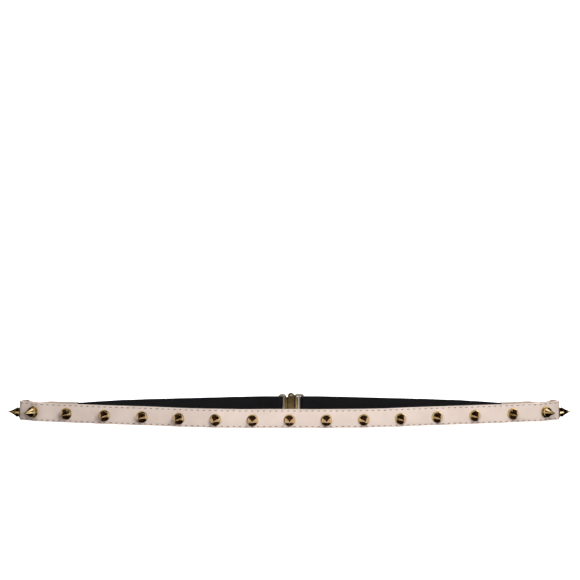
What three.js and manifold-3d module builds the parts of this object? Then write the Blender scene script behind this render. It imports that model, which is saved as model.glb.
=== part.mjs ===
// A narrow leather waist belt with screw-on cone studs and an elastic back, closed by a hook clasp.
// It stands on its lower edge as a closed, flattened loop. Millimetres, +X along the front, +Y to the
// back, +Z up. The origin is on the surface that the belt stands on, midway between its ends and
// between the tips of its front studs and the back of its elastic.

import * as THREE from 'three';
import { mergeVertices } from 'three/addons/utils/BufferGeometryUtils.js';
import Module from 'manifold-3d';

// Loop, as it lies
const HALF_SPAN = 186;          // from the middle of the front to the outer face of either end
const LOOP_DEPTH = 49;          // from the front's outer face to the middle of the elastic at the clasp

// Leather strap, two layers stitched together
const STRAP_WIDTH = 13;
const LEATHER_LAYER = 1.05;
const EDGE_CHAMFER = 0.35;      // broken corners of the cut edges

// Elastic
const ELASTIC_WIDTH = 12.4;
const ELASTIC_THICKNESS = 1.2;
const ELASTIC_CHAMFER = 0.25;
const POCKET_DEPTH = 13;        // how far the elastic goes in between the leather layers
const POCKET_RAMP = 12;         // length over which the leather swells to take it
const TURN_BACK = 13;           // sewn end behind each clasp bar

// Studs
const STUD_PITCH = 25;
const STUD_SPREAD = 0.036;      // share by which the outer studs sit wider than the pitch
const SIDE_STUDS = 6;           // studs on each side of the middle one, along the front
const FLANGE_DIAMETER = 8;
const FLANGE_HEIGHT = 0.9;
const FLANGE_RIM = 0.45;        // height of the flange's upright edge
const NECK_DIAMETER = 6.1;
const NECK_HEIGHT = 2.1;
const CONE_HEIGHT = 7;
const TIP_DIAMETER = 0.5;
const POST_DIAMETER = 3;
const SCREW_DIAMETER = 4.4;
const SCREW_HEIGHT = 0.8;
const SCREW_EDGE = 0.25;        // chamfer of the screw head
const STUD_DROP = 0.9;          // how far the middle stud sits below the strap's middle
const LAST_STUD_DROP = 0.3;     // and the last ones along the front
const END_STUD_DROP = 2;        // and the two outermost studs
const END_STUD_PAST = 3.4;      // and this far along the leather past the loop's outermost point
const STUD_SIDES = 16;

// Clasp
const CLASP_HEIGHT = 16.4;
const CLASP_PLATE = 1.2;        // thickness of the frames
const CLASP_BAR = 1.2;          // width of each upright bar
const CLASP_RAIL = 1.7;         // height of the upper and lower rails
const CLASP_CORNER = 2.4;       // outer corner radius of the frames
const CLASP_SHIFT = 1.3;        // the clasp hangs a little off the middle of the loop
const TONGUE_THICKNESS = 0.9;
const TONGUE_HEIGHT = 12;
const TONGUE_REACH = 8.6;       // from the bar that it grows from to the turn of its hook
const TONGUE_BEND = 0.9;        // outer radius of the hook's corners
const HUMP_WIDTH = 4.6;         // raised middle of the tongue
const HUMP_HEIGHT = 0.25;       // how far it stands proud of the tongue
const HUMP_RISE = 0.8;          // how far it rises above the frames
const HUMP_SHIFT = 0.2;         // from the middle of the tongue towards the hook half's frame
const RIB_WIDTH = 0.8;
const RIB_HEIGHT = 0.45;

// Clearances
const GAP = 0.3;                // between pieces that touch on the real belt
const FOLD_CLEARANCE = 0.15;    // between the corners of a clasp bar and the elastic round it
const FOLD_APART = 0.375;       // between the turned end of the elastic and its main run
const FINE_STEP = 0.4;          // spacing of the stations that a path is first worked out in

const STRAP_THICKNESS = 2 * LEATHER_LAYER;
const POCKET = ELASTIC_THICKNESS + 2 * GAP;
const BAR_HALF_DIAGONAL = Math.hypot(CLASP_BAR, CLASP_PLATE) / 2;
const FOLD_RADIUS = BAR_HALF_DIAGONAL + FOLD_CLEARANCE + ELASTIC_THICKNESS / 2;
const SLOT = FOLD_RADIUS + ELASTIC_THICKNESS / 2 + GAP - CLASP_BAR / 2;

// Right half of the loop, seen from above, on the outer face of the leather. across is a share of
// HALF_SPAN, back a share of LOOP_DEPTH, and lean the angle in degrees by which the top edge tips in.
const FRONT_ROWS = [
  { across: 0.0, back: 0.0, lean: 0 },
  { across: 0.183, back: 0.004, lean: 0 },
  { across: 0.328, back: 0.061, lean: 0 },
  { across: 0.473, back: 0.185, lean: 0 },
  { across: 0.548, back: 0.251, lean: 0 },
  { across: 0.699, back: 0.376, lean: 0 },
  { across: 0.774, back: 0.445, lean: 0 },
  { across: 0.847, back: 0.522, lean: 0 },
  { across: 0.892, back: 0.559, lean: 0 },
  { across: 0.918, back: 0.576, lean: 0 },
];
const END_ROWS = [
  { across: 0.9355, back: 0.604, lean: 0 },
  { across: 0.9613, back: 0.6755, lean: 0 },
  { across: 0.98, back: 0.714, lean: 0 },
  { across: 0.994, back: 0.742, lean: 0 },
  { across: 1.0, back: 0.7755, lean: 0 },
  { across: 0.997, back: 0.822, lean: 0 },
  { across: 0.9903, back: 0.886, lean: 0 },
  { across: 0.98, back: 0.928, lean: 5 },
  { across: 0.965, back: 0.941, lean: 14 },
];
const RETURN_ROWS = [
  { across: 0.9435, back: 0.914, lean: 23 },
  { across: 0.9086, back: 0.841, lean: 25 },
  { across: 0.8737, back: 0.7755, lean: 9 },
  { across: 0.852, back: 0.745, lean: 0 },
  { across: 0.812, back: 0.71, lean: 0 },
  { across: 0.78, back: 0.694, lean: 0 },
  { across: 0.742, back: 0.706, lean: 0 },
  { across: 0.7016, back: 0.773, lean: 0 },
  { across: 0.629, back: 0.865, lean: 0 },
  { across: 0.559, back: 0.906, lean: 0 },
  { across: 0.484, back: 0.933, lean: 0 },
  { across: 0.333, back: 0.963, lean: 0 },
  { across: 0.188, back: 1.006, lean: 0 },
  { across: 0.11, back: 1.03, lean: 0 },
];
const LEATHER_END = 0.78;       // share of HALF_SPAN at which the leather stops behind
const END_STUD_ACROSS = 0.944;  // share of HALF_SPAN of the stud on each slanting end

const wasm = await Module();
wasm.setup();

// Solid geometry

function toManifold(geometry) {
  const bare = geometry.clone();
  bare.deleteAttribute('normal');
  bare.deleteAttribute('uv');
  const merged = mergeVertices(bare, 1e-5);
  return new wasm.Manifold(new wasm.Mesh({
    numProp: 3,
    vertProperties: Float32Array.from(merged.attributes.position.array),
    triVerts: Uint32Array.from(merged.index.array),
  }));
}

function toGeometry(manifold) {
  const mesh = manifold.getMesh();
  const geometry = new THREE.BufferGeometry();
  geometry.setAttribute('position', new THREE.Float32BufferAttribute(mesh.vertProperties, 3));
  geometry.setIndex(Array.from(mesh.triVerts));
  geometry.computeVertexNormals();
  return geometry;
}

function join(...geometries) {
  return toGeometry(geometries.map(toManifold).reduce((whole, next) => whole.add(next)));
}

function cut(geometry, tools) {
  const whole = toManifold(geometry);
  return toGeometry(tools.map(toManifold).reduce((left, tool) => left.subtract(tool), whole));
}

// Plan of the loop, drawn from the middle of the front's outer face and moved to the origin at the end

function planPoint(row, side) {
  return new THREE.Vector3(side * row.across * HALF_SPAN, row.back * LOOP_DEPTH, row.lean);
}

function headingTo(from, to) {
  return Math.atan2(to.y - from.y, to.x - from.x);
}

// A path is a list of stations a short step apart, each with its place, its lean, the distance
// covered so far and the outward direction, which is to the right of the way that the path runs.
function makePath(points) {
  const curve = new THREE.CatmullRomCurve3(points, false, 'centripetal');
  const samples = curve.getSpacedPoints(Math.ceil(curve.getLength() / FINE_STEP));
  let along = 0;
  return samples.map((sample, i) => {
    const before = samples[Math.max(i - 1, 0)];
    const after = samples[Math.min(i + 1, samples.length - 1)];
    if (i > 0) along += Math.hypot(sample.x - before.x, sample.y - before.y);
    const heading = headingTo(before, after);
    return {
      x: sample.x,
      y: sample.y,
      lean: THREE.MathUtils.degToRad(Math.max(sample.z, 0)),
      along,
      heading,
      outX: Math.sin(heading),
      outY: -Math.cos(heading),
    };
  });
}

function stationAt(path, along) {
  return path.reduce((best, s) => (Math.abs(s.along - along) < Math.abs(best.along - along) ? s : best));
}

// Keeps a station only where the path has turned or run on far enough since the last one.
function thinOut(path, turn, stride) {
  const kept = [path[0]];
  for (const station of path.slice(1, -1)) {
    const last = kept[kept.length - 1];
    const turned = Math.abs(Math.atan2(
      Math.sin(station.heading - last.heading), Math.cos(station.heading - last.heading)));
    if (turned > turn || station.along - last.along > stride) kept.push(station);
  }
  kept.push(path[path.length - 1]);
  return kept;
}

// A point of a band's section: inward from its outer face, and up from its lower edge. A leaning
// band is lifted so that its lower corner stays on the surface.
function sectionPoint(station, inward, up, lift) {
  const cos = Math.cos(station.lean);
  const sin = Math.sin(station.lean);
  const reach = inward * cos + up * sin;
  return [
    station.x - station.outX * reach,
    station.y - station.outY * reach,
    up * cos - inward * sin + lift,
  ];
}

// A band that stands on edge along a path. layout(station) gives its inner and outer faces, measured
// inward from the path, its lower edge and its width.
function makeBand(stations, chamfer, layout) {
  const positions = [];
  const index = [];
  for (const station of stations) {
    const { outer, inner, low, width, lift } = layout(station);
    const high = low + width;
    const ring = [
      [outer, low + chamfer], [outer, high - chamfer], [outer + chamfer, high],
      [inner - chamfer, high], [inner, high - chamfer], [inner, low + chamfer],
      [inner - chamfer, low], [outer + chamfer, low],
    ];
    for (const [inward, up] of ring) positions.push(...sectionPoint(station, inward, up, lift));
  }
  const sides = 8;
  for (let i = 0; i + 1 < stations.length; i += 1) {
    for (let j = 0; j < sides; j += 1) {
      const a = i * sides + j;
      const b = i * sides + ((j + 1) % sides);
      index.push(a, a + sides, b, b, a + sides, b + sides);
    }
  }
  const last = (stations.length - 1) * sides;
  for (let j = 1; j + 1 < sides; j += 1) {
    index.push(0, j, j + 1);
    index.push(last, last + j + 1, last + j);
  }
  const geometry = new THREE.BufferGeometry();
  geometry.setAttribute('position', new THREE.Float32BufferAttribute(positions, 3));
  geometry.setIndex(index);
  geometry.computeVertexNormals();
  return geometry;
}

const frontRows = [...FRONT_ROWS, ...END_ROWS];
const returnRows = RETURN_ROWS.filter((row) => row.across >= LEATHER_END);
const strapRows = [...frontRows, ...returnRows];
const strapPath = makePath([
  ...strapRows.slice(1).reverse().map((row) => planPoint(row, -1)),
  ...strapRows.map((row) => planPoint(row, 1)),
]);
const strapLength = strapPath[strapPath.length - 1].along;
const strapMiddle = strapLength / 2;

// How far a place on the strap is into the swelling that holds the elastic: 0 outside, 1 at the end.
function swelling(station) {
  const fromEnd = Math.min(station.along, strapLength - station.along);
  return THREE.MathUtils.smoothstep(POCKET_DEPTH + POCKET_RAMP - fromEnd, 0, POCKET_RAMP);
}

function strapLift(station) {
  return Math.sin(station.lean) * (STRAP_THICKNESS + POCKET * swelling(station));
}

function strapLayout(station) {
  return {
    outer: 0,
    inner: STRAP_THICKNESS + POCKET * swelling(station),
    low: 0,
    width: STRAP_WIDTH,
    lift: strapLift(station),
  };
}

function pocketLayout(station) {
  return {
    outer: LEATHER_LAYER,
    inner: LEATHER_LAYER + POCKET,
    low: -STRAP_WIDTH / 2,
    width: 2 * STRAP_WIDTH,
    lift: strapLift(station),
  };
}

// Studs

const STUD_AXIS = new THREE.Vector3(0, 1, 0);   // a lathed shape stands along its own Y

function studSeat(along, drop) {
  const station = stationAt(strapPath, along);
  const height = STRAP_WIDTH / 2 - drop;
  const [x, y, z] = sectionPoint(station, 0, height, strapLift(station));
  const axis = new THREE.Vector3(
    station.outX * Math.cos(station.lean), station.outY * Math.cos(station.lean), Math.sin(station.lean));
  return { place: new THREE.Vector3(x, y, z), axis: axis.normalize() };
}

function seatAll() {
  const seats = [];
  for (let i = -SIDE_STUDS; i <= SIDE_STUDS; i += 1) {
    const outward = (i / SIDE_STUDS) ** 2;
    const drop = THREE.MathUtils.lerp(STUD_DROP, LAST_STUD_DROP, outward);
    seats.push(studSeat(strapMiddle + i * STUD_PITCH * (1 + STUD_SPREAD * outward), drop));
  }
  const half = strapPath.filter((s) => s.along > strapMiddle);
  const slant = half.find((s) => s.x >= END_STUD_ACROSS * HALF_SPAN).along - strapMiddle;
  const outermost = half.reduce((best, s) => (s.x > best.x ? s : best)).along;
  const tip = outermost + END_STUD_PAST - strapMiddle;
  seats.unshift(studSeat(strapMiddle - slant, 0));
  seats.push(studSeat(strapMiddle + slant, 0));
  seats.unshift(studSeat(strapMiddle - tip, END_STUD_DROP));
  seats.push(studSeat(strapMiddle + tip, END_STUD_DROP));
  return seats;
}

// Distances along a stud are measured outward from the leather's outer face.
const postEnd = -(STRAP_THICKNESS + GAP);

function makeStud() {
  const base = GAP;
  const neckBase = base + FLANGE_HEIGHT;
  const coneBase = neckBase + NECK_HEIGHT;
  const profile = [
    [0, postEnd],
    [POST_DIAMETER / 2, postEnd],
    [POST_DIAMETER / 2, base],
    [FLANGE_DIAMETER / 2, base],
    [FLANGE_DIAMETER / 2, base + FLANGE_RIM],
    [NECK_DIAMETER / 2, neckBase],
    [NECK_DIAMETER / 2, coneBase],
    [TIP_DIAMETER / 2, coneBase + CONE_HEIGHT],
    [0, coneBase + CONE_HEIGHT],
  ];
  return new THREE.LatheGeometry(profile.map(([r, h]) => new THREE.Vector2(r, h)), STUD_SIDES);
}

function makeScrewHead() {
  const top = postEnd - GAP;
  const foot = top - SCREW_HEIGHT;
  const profile = [
    [0, foot],
    [SCREW_DIAMETER / 2 - SCREW_EDGE, foot],
    [SCREW_DIAMETER / 2, foot + SCREW_EDGE],
    [SCREW_DIAMETER / 2, top],
    [0, top],
  ];
  return new THREE.LatheGeometry(profile.map(([r, h]) => new THREE.Vector2(r, h)), STUD_SIDES);
}

function makePostHole(seat) {
  const radius = POST_DIAMETER / 2 + GAP;
  const throughAndOut = 4 * STRAP_THICKNESS;
  const hole = new THREE.CylinderGeometry(radius, radius, throughAndOut, STUD_SIDES);
  hole.applyQuaternion(new THREE.Quaternion().setFromUnitVectors(STUD_AXIS, seat.axis));
  hole.translate(seat.place.x, seat.place.y, seat.place.z);
  return hole;
}

// Leather strap: the doubled strap with a hole for each post, its two ends split to hold the elastic.
function makeStrap(seats) {
  const turn = THREE.MathUtils.degToRad(7);
  const stride = 7;
  const band = makeBand(thinOut(strapPath, turn, stride), EDGE_CHAMFER, strapLayout);
  const pockets = [
    strapPath.filter((s) => s.along < POCKET_DEPTH),
    strapPath.filter((s) => s.along > strapLength - POCKET_DEPTH),
  ].map((stretch) => makeBand(thinOut(extend(stretch), turn, stride), EDGE_CHAMFER, pocketLayout));
  return cut(band, [...pockets, ...seats.map(makePostHole)]);
}

// The same stretch, run straight on past the strap's own end, so that a cut made with it is clean.
function extend(stretch) {
  const overrun = 2;
  const first = stretch[0];
  const last = stretch[stretch.length - 1];
  const shifted = (station, step) => ({
    ...station,
    x: station.x + step * Math.cos(station.heading),
    y: station.y + step * Math.sin(station.heading),
    along: station.along + step,
  });
  return first.along === 0
    ? [shifted(first, -overrun), ...stretch]
    : [...stretch, shifted(last, overrun)];
}

// Elastic

const claspLow = (CLASP_HEIGHT - ELASTIC_WIDTH) / 2;
const strapLow = (STRAP_WIDTH - ELASTIC_WIDTH) / 2;
const tongueRun = TONGUE_REACH + TONGUE_THICKNESS;
const halfWindow = tongueRun / 2;
const barInner = halfWindow + CLASP_BAR + SLOT;
const barCentre = barInner + CLASP_BAR / 2;
const claspHalf = barInner + CLASP_BAR;

// One elastic runs from inside the leather to its clasp bar, round the bar and back on itself. The
// path is the middle of the elastic's thickness. side is 1 on the right and -1 on the left.
function elasticPath(side) {
  const barX = side * barCentre + CLASP_SHIFT;
  const reverse = side < 0;
  const end = reverse ? strapPath.filter((s) => s.along < POCKET_DEPTH - GAP).reverse()
    : strapPath.filter((s) => s.along > strapLength - POCKET_DEPTH + GAP);
  const middle = LEATHER_LAYER + POCKET / 2;
  const pocketSteps = 4;
  const inLeather = thinOut(end, Math.PI, POCKET_DEPTH / pocketSteps).map((s) => {
    const [x, y] = sectionPoint(s, middle, 0, 0);
    return new THREE.Vector3(x, y, 0);
  });
  const free = RETURN_ROWS.filter((row) => row.across < LEATHER_END).map((row) => planPoint(row, side));
  const mainY = LOOP_DEPTH + FOLD_RADIUS;
  const apart = ELASTIC_THICKNESS + FOLD_APART;
  const taper = 2.5 * FOLD_RADIUS;     // length over which the turned end comes in to the main run
  const settled = 1.7 * taper;         // where it lies alongside
  const bendSteps = 6;
  const round = [new THREE.Vector3(barX + side * taper, mainY, 0)];
  for (let i = 0; i <= bendSteps; i += 1) {
    const angle = Math.PI / 2 - (Math.PI * i) / bendSteps;
    round.push(new THREE.Vector3(
      barX - side * FOLD_RADIUS * Math.cos(angle), LOOP_DEPTH + FOLD_RADIUS * Math.sin(angle), 0));
  }
  round.push(
    new THREE.Vector3(barX + side * taper, mainY - (FOLD_RADIUS + apart / 2), 0),
    new THREE.Vector3(barX + side * settled, mainY - apart, 0),
    new THREE.Vector3(barX + side * TURN_BACK, mainY - apart, 0),
  );
  return makePath([...inLeather, ...free, ...round]);
}

function makeElastic(side) {
  const path = elasticPath(side);
  const foldStart = path[path.length - 1].along - TURN_BACK - Math.PI * FOLD_RADIUS;
  const layout = (station) => {
    const risen = THREE.MathUtils.smoothstep(station.along, POCKET_DEPTH, foldStart);
    return {
      outer: -ELASTIC_THICKNESS / 2,
      inner: ELASTIC_THICKNESS / 2,
      low: THREE.MathUtils.lerp(strapLow, claspLow, risen),
      width: ELASTIC_WIDTH,
      lift: 0,
    };
  };
  const turn = THREE.MathUtils.degToRad(14);
  const stride = 9;
  const stations = thinOut(path, turn, stride).map((s) => (side > 0 ? s : {
    ...s, outX: -s.outX, outY: -s.outY,
  }));
  const band = makeBand(stations, ELASTIC_CHAMFER, layout);
  return side > 0 ? band : flipFaces(band);
}

function flipFaces(geometry) {
  const index = Array.from(geometry.index.array);
  for (let i = 0; i < index.length; i += 3) [index[i], index[i + 1]] = [index[i + 1], index[i]];
  geometry.setIndex(index);
  geometry.computeVertexNormals();
  return geometry;
}

// Clasp. Its shapes are drawn in X and Z, seen from the front, and given their thickness along Y.

function roundedRectangle(path, left, right, low, high, radius) {
  path.moveTo(left + radius, low);
  path.lineTo(right - radius, low);
  path.absarc(right - radius, low + radius, radius, -Math.PI / 2, 0, false);
  path.lineTo(right, high - radius);
  path.absarc(right - radius, high - radius, radius, 0, Math.PI / 2, false);
  path.lineTo(left + radius, high);
  path.absarc(left + radius, high - radius, radius, Math.PI / 2, Math.PI, false);
  path.lineTo(left, low + radius);
  path.absarc(left + radius, low + radius, radius, Math.PI, 1.5 * Math.PI, false);
  path.closePath();
  return path;
}

// Stands a shape drawn in X and Y upright, with its thickness from back to front at the given depth.
function upright(shape, thickness, front) {
  const options = { depth: thickness, bevelEnabled: false, curveSegments: 3 };
  const geometry = new THREE.ExtrudeGeometry(shape, options);
  geometry.rotateX(Math.PI / 2);
  geometry.translate(0, front + thickness, 0);
  return geometry;
}

function makeFrame(left, right, windows) {
  const shape = roundedRectangle(new THREE.Shape(), left, right, 0, CLASP_HEIGHT, CLASP_CORNER);
  const inset = 0.4;
  for (const [from, to] of windows) {
    shape.holes.push(roundedRectangle(
      new THREE.Path(), from, to, CLASP_RAIL, CLASP_HEIGHT - CLASP_RAIL, inset));
  }
  return upright(shape, CLASP_PLATE, LOOP_DEPTH - CLASP_PLATE / 2);
}

// The hook half: a frame for the elastic, and a ribbed tongue that turns back round the catch bar.
function makeHookHalf() {
  const frame = makeFrame(-claspHalf, -halfWindow + CLASP_BAR, [[-barInner, -barInner + SLOT]]);
  const front = LOOP_DEPTH - CLASP_PLATE / 2 - GAP - TONGUE_THICKNESS;
  const back = front + TONGUE_THICKNESS;
  const hookBack = LOOP_DEPTH + CLASP_PLATE / 2 + GAP;
  const left = -halfWindow;
  const right = halfWindow - GAP;
  const hookEnd = right - TONGUE_REACH / 2;
  const bend = TONGUE_BEND;
  const section = new THREE.Shape();
  section.moveTo(left, front);
  section.lineTo(right - bend, front);
  section.absarc(right - bend, front + bend, bend, -Math.PI / 2, 0, false);
  section.lineTo(right, hookBack + TONGUE_THICKNESS - bend);
  section.absarc(right - bend, hookBack + TONGUE_THICKNESS - bend, bend, 0, Math.PI / 2, false);
  section.lineTo(hookEnd, hookBack + TONGUE_THICKNESS);
  section.lineTo(hookEnd, hookBack);
  section.lineTo(right - TONGUE_THICKNESS, hookBack);
  section.lineTo(right - TONGUE_THICKNESS, back);
  section.lineTo(left + CLASP_BAR, back);
  section.lineTo(left + CLASP_BAR, LOOP_DEPTH);
  section.lineTo(left, LOOP_DEPTH);
  section.closePath();
  const tongue = new THREE.ExtrudeGeometry(section, {
    depth: TONGUE_HEIGHT, bevelEnabled: false, curveSegments: 4,
  });
  tongue.translate(0, 0, (CLASP_HEIGHT - TONGUE_HEIGHT) / 2);
  const humpCentre = (left + right) / 2 - HUMP_SHIFT;
  const nearlyHalf = 0.45;      // corner radius of a hump or rib, as a share of its width
  const humpShape = roundedRectangle(new THREE.Shape(), humpCentre - HUMP_WIDTH / 2,
    humpCentre + HUMP_WIDTH / 2, GAP, CLASP_HEIGHT + HUMP_RISE, nearlyHalf * HUMP_WIDTH);
  const hump = upright(humpShape, TONGUE_THICKNESS, front - HUMP_HEIGHT);
  const ribs = [-1, 1].map((side) => {
    const x = humpCentre + side * (HUMP_WIDTH / 2 + RIB_WIDTH);
    const rib = roundedRectangle(new THREE.Shape(), x - RIB_WIDTH / 2, x + RIB_WIDTH / 2,
      (CLASP_HEIGHT - TONGUE_HEIGHT) / 2 + RIB_WIDTH, (CLASP_HEIGHT + TONGUE_HEIGHT) / 2 - RIB_WIDTH,
      nearlyHalf * RIB_WIDTH);
    return upright(rib, TONGUE_THICKNESS, front - RIB_HEIGHT);
  });
  return join(frame, tongue, hump, ...ribs);
}

// The eye half: a frame for the elastic, with a window for the hook and a catch bar.
function makeEyeHalf() {
  const windowRight = halfWindow;
  const windowLeft = windowRight - (TONGUE_THICKNESS + 3 * GAP);
  return makeFrame(windowLeft - CLASP_BAR, claspHalf, [
    [windowLeft, windowRight],
    [windowRight + CLASP_BAR, barInner],
  ]);
}

// Assembly

const leather = { color: 0xe6d2c6, roughness: 0.62, metalness: 0 };
const elastic = { color: 0x1b1b1c, roughness: 0.85, metalness: 0 };
const gold = { color: 0xc89a4a, roughness: 0.16, metalness: 1 };
const brass = { color: 0xa8946a, roughness: 0.28, metalness: 1 };

function named(name, geometry, finish) {
  const mesh = new THREE.Mesh(geometry, new THREE.MeshStandardMaterial(finish));
  mesh.name = name;
  return mesh;
}

const belt = new THREE.Group();
const seats = seatAll();
const frontReach = GAP + FLANGE_HEIGHT + NECK_HEIGHT + CONE_HEIGHT;
const backReach = LOOP_DEPTH + FOLD_RADIUS + ELASTIC_THICKNESS / 2;
belt.position.y = (frontReach - backReach) / 2;

belt.add(named('leather_strap', makeStrap(seats), leather));
belt.add(named('elastic_left', makeElastic(-1), elastic));
belt.add(named('elastic_right', makeElastic(1), elastic));

const hookHalf = named('clasp_hook', makeHookHalf(), brass);
const eyeHalf = named('clasp_eye', makeEyeHalf(), brass);
for (const half of [hookHalf, eyeHalf]) {
  half.position.x = CLASP_SHIFT;
  belt.add(half);
}

seats.forEach((seat, i) => {
  const number = String(i + 1).padStart(2, '0');
  const stud = new THREE.Group();
  stud.position.copy(seat.place);
  stud.quaternion.setFromUnitVectors(STUD_AXIS, seat.axis);
  stud.add(named(`spike_${number}`, makeStud(), gold));
  stud.add(named(`screw_head_${number}`, makeScrewHead(), gold));
  belt.add(stud);
});

export default belt;
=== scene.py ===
"""A narrow studded waist belt: stitched leather front, cone studs, elastic back and a hook clasp."""

import math
import random

import bmesh
import bpy
import numpy as np
from bpy.props import FloatProperty, FloatVectorProperty, IntProperty, PointerProperty
from mathutils import Matrix, Vector


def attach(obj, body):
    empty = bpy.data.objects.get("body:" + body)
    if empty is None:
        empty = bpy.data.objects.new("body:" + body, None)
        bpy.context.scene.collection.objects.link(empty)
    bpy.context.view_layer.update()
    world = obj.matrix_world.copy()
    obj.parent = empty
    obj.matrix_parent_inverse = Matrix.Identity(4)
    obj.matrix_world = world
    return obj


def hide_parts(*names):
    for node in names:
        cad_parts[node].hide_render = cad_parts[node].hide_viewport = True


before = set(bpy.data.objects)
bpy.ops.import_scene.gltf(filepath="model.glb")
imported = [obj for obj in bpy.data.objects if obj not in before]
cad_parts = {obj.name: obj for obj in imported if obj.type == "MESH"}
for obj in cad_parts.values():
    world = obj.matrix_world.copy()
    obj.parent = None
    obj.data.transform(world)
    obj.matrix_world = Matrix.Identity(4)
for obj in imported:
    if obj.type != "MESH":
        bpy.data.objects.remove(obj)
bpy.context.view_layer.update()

bl_info = {
    "name": "Studded Waist Belt",
    "version": (1, 0, 0),
    "blender": (4, 5, 0),
    "location": "View3D > Sidebar > Belt",
    "description": "Builds a leather belt with cone studs and an elastic back round its frame",
    "category": "Add Mesh",
}

MM = 0.001
BODY = "root"


# Loop, as it lies. The rows repeat the plan that the frame was made to.

HALF_SPAN = 186.0
LOOP_DEPTH = 49.0
FRONT_ROWS = [
    # across, back, lean
    (0.0, 0.0, 0), (0.183, 0.004, 0), (0.328, 0.061, 0), (0.473, 0.185, 0), (0.548, 0.251, 0),
    (0.699, 0.376, 0), (0.774, 0.445, 0), (0.847, 0.522, 0), (0.892, 0.559, 0), (0.918, 0.576, 0),
]
END_ROWS = [
    (0.9355, 0.604, 0), (0.9613, 0.6755, 0), (0.98, 0.714, 0), (0.994, 0.742, 0), (1.0, 0.7755, 0),
    (0.997, 0.822, 0), (0.9903, 0.886, 0), (0.98, 0.928, 5), (0.965, 0.941, 14),
]
RETURN_ROWS = [
    (0.9435, 0.914, 23), (0.9086, 0.841, 25), (0.8737, 0.7755, 9), (0.852, 0.745, 0),
    (0.812, 0.71, 0), (0.78, 0.694, 0), (0.742, 0.706, 0), (0.7016, 0.773, 0), (0.629, 0.865, 0),
    (0.559, 0.906, 0), (0.484, 0.933, 0), (0.333, 0.963, 0), (0.188, 1.006, 0), (0.11, 1.03, 0),
]
LEATHER_END = 0.78
END_STUD_ACROSS = 0.944
END_STUD_PAST = 3.4
END_STUD_DROP = 2.0
CLASP_SHIFT = 1.3
GAP = 0.3
FOLD_CLEARANCE = 0.15
FOLD_APART = 0.375
CLASP_BAR = 1.2
CLASP_PLATE = 1.2
CLASP_HEIGHT = 16.4
CLASP_RAIL = 1.7
CLASP_CORNER = 2.4
TONGUE_REACH = 8.6
TONGUE_THICKNESS = 0.9
TONGUE_HEIGHT = 12.0
HUMP_WIDTH = 4.6
HUMP_HEIGHT = 0.25
HUMP_RISE = 0.8
HUMP_SHIFT = 0.2
BEAD_DROP = 1.1
BAR_ROUND = 0.42
RIB_WIDTH = 0.8
RIB_HEIGHT = 0.45
POCKET_DEPTH = 13.0
POCKET_RAMP = 12.0
TURN_BACK = 13.0
STUD_PITCH = 25.0
STUD_SPREAD = 0.036
SIDE_STUDS = 6
STUD_DROP = 0.9
LAST_STUD_DROP = 0.3
CONE_HEIGHT = 7.0
CONE_OVERHANG = 0.36
CONE_HOLLOW = 0.33


def hex_colour(value):
    """An sRGB hex value as linear red, green, blue and alpha."""
    parts = [((value >> shift) & 255) / 255 for shift in (16, 8, 0)]
    return tuple(c / 12.92 if c <= 0.04045 else ((c + 0.055) / 1.055) ** 2.4 for c in parts) + (1.0,)


def length(name, about, millimetres):
    return FloatProperty(name=name, description=about, default=millimetres * MM, subtype="DISTANCE",
                         unit="LENGTH", precision=5)


def colour(name, about, value):
    return FloatVectorProperty(name=name, description=about, default=hex_colour(value), size=4,
                               subtype="COLOR", min=0.0, max=1.0)


class BeltSizes(bpy.types.PropertyGroup):
    """Sizes of the belt's pieces."""

    strap_width: length("Strap width", "Height of the leather strap as it stands on edge", 13.0)
    leather_layer: length("Leather layer", "Thickness of each of the strap's two layers", 1.05)
    edge_round: length("Edge rounding", "Radius of the painted edges of each leather layer", 0.3)
    stitch_inset: length("Stitch inset", "From the strap's edge to the line of stitching", 1.15)
    stitch_pitch: length("Stitch pitch", "From one stitch to the next", 4.1)
    stitch_length: length("Stitch length", "Length of thread that shows on the leather", 1.7)
    thread: length("Thread", "Thickness of the sewing thread", 0.58)
    channel: length("Stitch channel", "How deep the stitching pulls into the leather", 0.16)
    elastic_width: length("Elastic width", "Width of the elastic", 12.4)
    elastic_thickness: length("Elastic thickness", "Thickness of the elastic", 1.2)
    elastic_ribs: IntProperty(name="Elastic ribs", description="Cords that run along the elastic",
                              default=11, min=3)
    rib_height: length("Rib height", "How far each cord of the elastic stands proud", 0.1)
    flange: length("Flange", "Diameter of a stud's flange", 8.0)
    neck: length("Neck", "Diameter of a stud's neck and of the foot of its cone", 6.1)
    stud_height: length("Stud height", "From the leather to a stud's tip", 10.25)
    screw: length("Screw", "Diameter of the screw head behind a stud", 4.4)


class BeltFinish(bpy.types.PropertyGroup):
    """Colours of the belt's materials."""

    leather: colour("Leather", "Dyed full-grain leather", 0xE3D1C6)
    lining: colour("Lining", "Inner leather layer, undyed and a little grey", 0xB9AA9E)
    # Darker dye in random blotches. Darkened further, this colour is also painted round the needle holes as
    # painted shade.
    leather_low: colour("Leather, deep grain", "Dye in the leather's pores and along its edges", 0xC3ACA0)
    thread: colour("Thread", "Waxed polyester thread", 0x85766D)
    elastic: colour("Elastic", "Black knitted elastic", 0x0B0B0D)
    gold: colour("Gold plate", "Polished pale gold plate", 0xDBC090)
    brass: colour("Brass plate", "Antique brass plate of the clasp", 0x9A855C)
    # Pale colour painted on the clasp's rails, bars and boss as painted highlight.
    brass_painted_highlight: colour("Brass plate, worn", "Brass plate where it is rubbed bright", 0xE2D7C0)
    floor: colour("Floor", "Plain pale floor", 0xF7F7F7)


# Routes of the strap and of the elastic

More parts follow.
